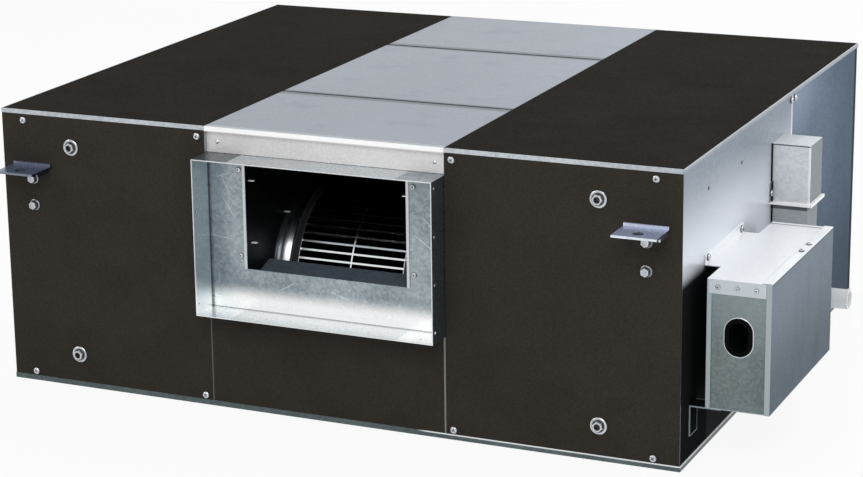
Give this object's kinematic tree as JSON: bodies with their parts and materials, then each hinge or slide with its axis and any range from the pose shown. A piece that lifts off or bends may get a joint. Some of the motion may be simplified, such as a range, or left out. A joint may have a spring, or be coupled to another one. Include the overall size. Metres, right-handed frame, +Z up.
{
  "type": "ducted fan coil unit",
  "caption": "Flat box-shaped ducted fan coil unit with a collared outlet, a centrifugal blower, a water coil, an electric box on its side and hanger brackets.",
  "frame": {"origin": "middle of the underside of the casing", "axes": "+X along the width to the electric box side, +Y from the outlet to the return opening, +Z up"},
  "size_m": [1.1488, 0.95, 0.398],
  "materials": {
    "galvanised_sheet": "spangled zinc, satin",
    "bright_sheet": "clean zinc, satin",
    "dark_facing": "matt, fine grain",
    "blower_sheet": "dark, satin",
    "wheel_sheet": "zinc, satin",
    "motor_paint": "satin",
    "machined_steel": "turned",
    "stator_core": "varnished",
    "fin_foil": "rolled foil",
    "copper_pipe": "drawn copper",
    "brass_fitting": "machined",
    "white_pipe": "smooth",
    "foam": "beaded foam",
    "box_paint": "satin blue grey",
    "black_rubber": "moulded",
    "circuit_board": "solder mask",
    "terminal_plastic": "moulded",
    "capacitor_case": "moulded",
    "zinc_bracket": "blue zinc plate",
    "zinc_fastener": "bright zinc plate"
  },
  "bodies": {
    "casing": {"base_panel": "galvanised_sheet", "side_panel_left_front": "galvanised_sheet", "side_panel_left_rear": "galvanised_sheet", "side_panel_right_front": "galvanised_sheet", "side_panel_right_rear": "galvanised_sheet", "front_panel_left": "galvanised_sheet", "front_panel_right": "galvanised_sheet", "front_panel_lower": "galvanised_sheet", "front_facing_left": "dark_facing", "front_facing_right": "dark_facing", "front_facing_lower": "dark_facing", "front_fascia": "bright_sheet", "front_rails": "galvanised_sheet", "top_panel_left": "galvanised_sheet", "top_panel_right": "galvanised_sheet", "top_facing_left": "dark_facing", "top_facing_right": "dark_facing", "top_centre_front": "galvanised_sheet", "top_centre_middle": "galvanised_sheet", "top_centre_rear": "galvanised_sheet", "return_frame": "galvanised_sheet", "duct_collar": "galvanised_sheet", "scroll_wrap": "blower_sheet", "cutoff_tongue": "blower_sheet", "scroll_side_left": "blower_sheet", "scroll_side_right": "blower_sheet", "inlet_bells": "galvanised_sheet", "blower_feet": "galvanised_sheet", "motor_stator": "stator_core", "motor_shell": "motor_paint", "motor_end_bells": "motor_paint", "motor_band": "galvanised_sheet", "motor_arms": "galvanised_sheet", "coil_fins": "fin_foil", "coil_tubes": "copper_pipe", "coil_end_plates": "galvanised_sheet", "water_headers": "copper_pipe", "water_sockets": "brass_fitting", "air_vent": "brass_fitting", "drain_pan": "galvanised_sheet", "drain_pads": "foam", "drain_spigot": "white_pipe", "box_tray": "box_paint", "box_end_plate": "box_paint", "box_top": "bright_sheet", "box_cover": "box_paint", "cable_grommet": "black_rubber", "control_board": "circuit_board", "terminal_block": "terminal_plastic", "run_capacitor": "capacitor_case", "box_bracket": "bright_sheet", "pipe_cover_upper": "bright_sheet", "pipe_cover_lower": "bright_sheet", "hanger_brackets": "zinc_bracket", "fasteners": "zinc_fastener"},
    "impeller": {"wheel_blades": "wheel_sheet", "wheel_disc": "wheel_sheet", "wheel_end_rings": "wheel_sheet", "wheel_hub": "machined_steel", "motor_shaft": "machined_steel"}
  },
  "joints": [
    {"name": "wheel_spin", "type": "hinge", "parent": "casing", "child": "impeller", "pos_m": [0, -0.225, 0.156], "axis": [1, 0, 0], "continuous": true}
  ]
}
